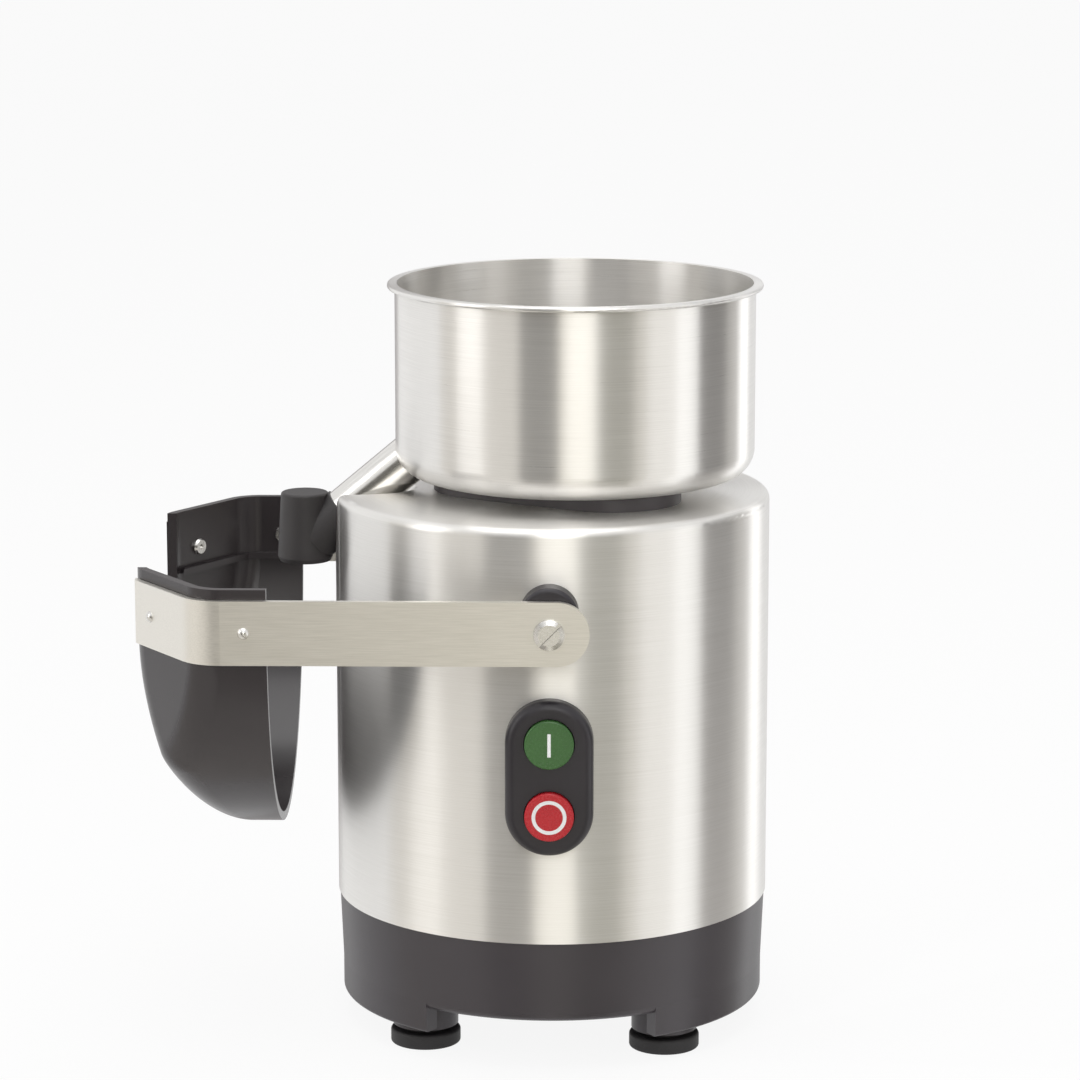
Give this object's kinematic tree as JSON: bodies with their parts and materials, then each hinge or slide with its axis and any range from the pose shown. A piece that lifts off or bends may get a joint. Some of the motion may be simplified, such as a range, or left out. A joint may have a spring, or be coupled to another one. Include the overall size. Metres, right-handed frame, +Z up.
{
  "type": "citrus juicer",
  "caption": "Motorised citrus juicer: round steel motor base, drive shaft, lift-off juice bowl with sloping spout, swing-away splash guard on strap arms, push-button panel.",
  "frame": {"origin": "on the table, at the centre of the bounding box with the bowl seated and the guard down", "axes": "+Z up along the shaft, -X to the front where the spout and guard are, -Y to the side with the buttons"},
  "size_m": [0.2854, 0.2338, 0.3447],
  "materials": {
    "brushed_steel": "circumferential brushed",
    "strap_steel": "fine matte brushed",
    "polished_steel": "polished",
    "fastener_steel": "bright",
    "dark_plastic": "satin",
    "bush_brass": "turned",
    "black_rubber": "matt",
    "green_plastic": "gloss",
    "red_plastic": "gloss",
    "motor_casting": "cast",
    "core_iron": "laminated",
    "winding_copper": "enamelled",
    "capacitor_can": "drawn"
  },
  "bodies": {
    "base": {"housing": "brushed_steel", "pivot_washers": "strap_steel", "seat_discs": "polished_steel", "shaft_cover_disc": "polished_steel", "foot_screws": "fastener_steel", "base_screws": "fastener_steel", "base_nuts": "fastener_steel", "hub_screws": "fastener_steel", "panel_screws": "fastener_steel", "pivot_screw_left": "fastener_steel", "pivot_screw_right": "fastener_steel", "pivot_nuts": "fastener_steel", "motor_tie_bolts": "fastener_steel", "upper_bearing": "fastener_steel", "lower_bearing": "fastener_steel", "base_tray": "dark_plastic", "hub_plate": "dark_plastic", "control_panel": "dark_plastic", "pivot_boss_left": "dark_plastic", "pivot_boss_right": "dark_plastic", "cord_gland": "dark_plastic", "switch_block": "dark_plastic", "foot_front_left": "black_rubber", "foot_front_right": "black_rubber", "foot_rear_left": "black_rubber", "foot_rear_right": "black_rubber", "shaft_seal": "black_rubber", "motor_top_shield": "motor_casting", "motor_bottom_shield": "motor_casting", "stator_core": "core_iron", "stator_windings": "winding_copper", "capacitor": "capacitor_can"},
    "drive": {"drive_shaft": "polished_steel", "rotor": "core_iron", "cooling_fan": "dark_plastic", "fan_clip": "fastener_steel"},
    "guard": {"guard_arm_left": "strap_steel", "guard_arm_right": "strap_steel", "splash_guard": "dark_plastic", "guard_screws": "fastener_steel", "pivot_bush_left": "bush_brass", "pivot_bush_right": "bush_brass"},
    "bowl": {"juice_bowl": "brushed_steel", "bowl_collar": "brushed_steel", "spout_tube": "brushed_steel", "drip_tip": "dark_plastic"},
    "start": {"start_button": "green_plastic"},
    "stop": {"stop_button": "red_plastic"}
  },
  "joints": [
    {"name": "guard_swing", "type": "hinge", "parent": "base", "child": "guard", "pos_m": [0.04275, 0, 0.2053], "axis": [0, 1, 0], "range_deg": [0, 90]},
    {"name": "bowl_lift", "type": "slide", "parent": "base", "child": "bowl", "axis": [0, 0, 1], "range_m": [0, 0.22]},
    {"name": "shaft_spin", "type": "hinge", "parent": "base", "child": "drive", "pos_m": [0.05315, 0, 0.28], "axis": [0, 0, 1], "continuous": true},
    {"name": "start_press", "type": "slide", "parent": "base", "child": "start", "axis": [0, 1, 0], "range_m": [0, 0.003], "stiffness_N_per_m": 800},
    {"name": "stop_press", "type": "slide", "parent": "base", "child": "stop", "axis": [0, 1, 0], "range_m": [0, 0.003], "stiffness_N_per_m": 800}
  ]
}
